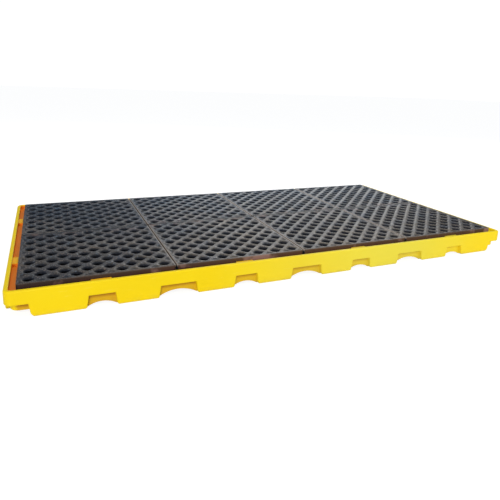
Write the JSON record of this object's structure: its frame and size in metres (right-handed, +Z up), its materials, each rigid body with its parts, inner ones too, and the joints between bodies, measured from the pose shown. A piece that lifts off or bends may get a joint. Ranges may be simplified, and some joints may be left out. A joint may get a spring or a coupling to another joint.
{
  "type": "spill containment pallet",
  "caption": "Low bunded work floor: a moulded sump tray with arched feet, and loose square lattice grates that rest on its ledge and on pedestals inside and lift out.",
  "frame": {"origin": "middle of the footprint, on the ground", "axes": "+X along the length, +Y along the depth away from the front, +Z up"},
  "size_m": [3.2, 1.65, 0.15],
  "materials": {
    "tray": "satin rotationally moulded polyethylene, faintly pebbled, lightly scuffed",
    "grate": "dark moulded polyethylene with bright worn rib tops and a film of dust",
    "pedestal": "matt black moulded polyethylene"
  },
  "bodies": {
    "tray": {"sump_tray": "tray", "pedestal_front_1": "pedestal", "pedestal_front_2": "pedestal", "pedestal_front_3": "pedestal", "pedestal_front_4": "pedestal", "pedestal_front_5": "pedestal", "pedestal_front_6": "pedestal", "pedestal_front_7": "pedestal", "pedestal_middle_1": "pedestal", "pedestal_middle_2": "pedestal", "pedestal_middle_3": "pedestal", "pedestal_middle_4": "pedestal", "pedestal_middle_5": "pedestal", "pedestal_middle_6": "pedestal", "pedestal_middle_7": "pedestal", "pedestal_back_1": "pedestal", "pedestal_back_2": "pedestal", "pedestal_back_3": "pedestal", "pedestal_back_4": "pedestal", "pedestal_back_5": "pedestal", "pedestal_back_6": "pedestal", "pedestal_back_7": "pedestal"},
    "grate_front_1": {"grate_front_1": "grate"},
    "grate_front_2": {"grate_front_2": "grate"},
    "grate_front_3": {"grate_front_3": "grate"},
    "grate_front_4": {"grate_front_4": "grate"},
    "grate_back_1": {"grate_back_1": "grate"},
    "grate_back_2": {"grate_back_2": "grate"},
    "grate_back_3": {"grate_back_3": "grate"},
    "grate_back_4": {"grate_back_4": "grate"}
  },
  "joints": [
    {"name": "grate_front_1_lift", "type": "slide", "parent": "tray", "child": "grate_front_1", "axis": [0, 0, 1], "range_m": [0, 0.25]},
    {"name": "grate_front_2_lift", "type": "slide", "parent": "tray", "child": "grate_front_2", "axis": [0, 0, 1], "range_m": [0, 0.25]},
    {"name": "grate_front_3_lift", "type": "slide", "parent": "tray", "child": "grate_front_3", "axis": [0, 0, 1], "range_m": [0, 0.25]},
    {"name": "grate_front_4_lift", "type": "slide", "parent": "tray", "child": "grate_front_4", "axis": [0, 0, 1], "range_m": [0, 0.25]},
    {"name": "grate_back_1_lift", "type": "slide", "parent": "tray", "child": "grate_back_1", "axis": [0, 0, 1], "range_m": [0, 0.25]},
    {"name": "grate_back_2_lift", "type": "slide", "parent": "tray", "child": "grate_back_2", "axis": [0, 0, 1], "range_m": [0, 0.25]},
    {"name": "grate_back_3_lift", "type": "slide", "parent": "tray", "child": "grate_back_3", "axis": [0, 0, 1], "range_m": [0, 0.25]},
    {"name": "grate_back_4_lift", "type": "slide", "parent": "tray", "child": "grate_back_4", "axis": [0, 0, 1], "range_m": [0, 0.25]}
  ]
}
